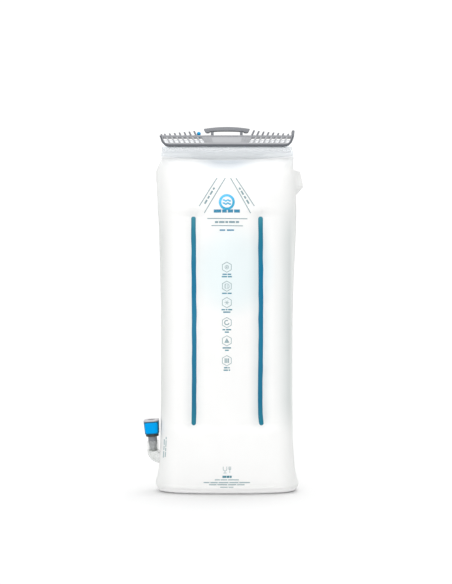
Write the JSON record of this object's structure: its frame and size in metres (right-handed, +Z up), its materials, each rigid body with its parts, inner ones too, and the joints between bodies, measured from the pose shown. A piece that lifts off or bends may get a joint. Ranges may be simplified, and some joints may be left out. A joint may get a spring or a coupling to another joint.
{
  "type": "hydration bladder",
  "caption": "Filled film water bladder with a slide-on top closure, carrying bar, welded baffle lines and a valved push-button hose coupling low on one side.",
  "frame": {"origin": "centre of the flat base that the filled bag stands on", "axes": "+Z up, towards the mouth closure; -Y towards the printed front; -X towards the hose coupling"},
  "size_m": [0.1979, 0.062, 0.45],
  "materials": {
    "frosted_film": "frosted translucent film",
    "clear_band": "clear welded film",
    "clear_port": "clear flexible moulding",
    "web_film": "thin tinted film",
    "weld_strip_blue": "printed teal weld",
    "slider_grey": "satin moulded",
    "coupling_grey": "satin moulded",
    "grip_dark_grey": "matte overmould",
    "button_blue": "satin moulded",
    "valve_pale_grey": "satin moulded",
    "spring_steel": "drawn wire and stamped plate",
    "seal_rubber": "moulded seal"
  },
  "bodies": {
    "bag": {"front_panel": "frosted_film", "rear_panel": "frosted_film", "left_gusset": "frosted_film", "right_gusset": "frosted_film", "base_gusset": "frosted_film", "baffle_web_left": "web_film", "baffle_web_right": "web_film", "front_weld_left": "weld_strip_blue", "front_weld_right": "weld_strip_blue", "rear_weld_left": "weld_strip_blue", "rear_weld_right": "weld_strip_blue", "front_mouth_band": "clear_band", "rear_mouth_band": "clear_band", "fold_bead": "clear_band", "port_elbow": "clear_port", "coupling_body": "coupling_grey", "base_collar": "grip_dark_grey", "socket_bezel": "valve_pale_grey", "socket_seal": "seal_rubber", "spring_retainer": "valve_pale_grey", "poppet_spring": "spring_steel", "button_spring_left": "spring_steel", "button_spring_right": "spring_steel"},
    "slider": {"slider_body": "slider_grey", "hanger_bar": "grip_dark_grey", "tether_stud": "button_blue"},
    "button": {"release_button": "button_blue", "latch_plate": "spring_steel"},
    "poppet": {"valve_poppet": "valve_pale_grey", "poppet_seal": "seal_rubber"}
  },
  "joints": [
    {"name": "slider_slide", "type": "slide", "parent": "bag", "child": "slider", "axis": [1, 0, 0], "range_m": [0, 0.168]},
    {"name": "button_press", "type": "slide", "parent": "bag", "child": "button", "axis": [0, 1, 0], "range_m": [0, 0.0018], "stiffness_N_per_m": 400, "springref_m": -0.002, "deforming": ["button_spring_left", "button_spring_right"]},
    {"name": "poppet_lift", "type": "slide", "parent": "bag", "child": "poppet", "axis": [0.0698, 0, -0.9976], "range_m": [0, 0.0025], "stiffness_N_per_m": 200, "springref_m": -0.003, "deforming": ["poppet_spring"]}
  ]
}
